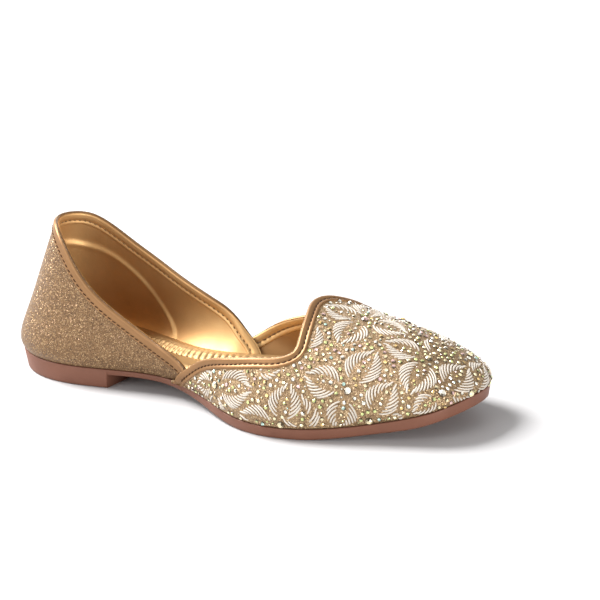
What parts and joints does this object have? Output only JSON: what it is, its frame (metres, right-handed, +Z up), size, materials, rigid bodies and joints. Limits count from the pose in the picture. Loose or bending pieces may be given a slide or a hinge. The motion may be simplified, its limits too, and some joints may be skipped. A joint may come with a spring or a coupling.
{
  "type": "mojari shoe",
  "caption": "Low slip-on mojari for the right foot, with a scalloped throat, bound edges, a hollow lined upper, a padded footbed and a moulded sole with a low heel.",
  "frame": {"origin": "middle of the heel block's flat rest, on the floor", "axes": "+X from heel to toe, +Y to the inner side of the foot, +Z up from the floor"},
  "size_m": [0.249, 0.0904, 0.0725],
  "materials": {
    "sole_rubber": "satin",
    "footbed": "satin metallic",
    "upper_fabric": "glitter",
    "binding_leather": "metallic"
  },
  "bodies": {
    "root": {"outsole": "sole_rubber", "insole": "footbed", "upper": "upper_fabric", "collar_binding": "binding_leather", "vamp_binding": "binding_leather"}
  },
  "joints": []
}
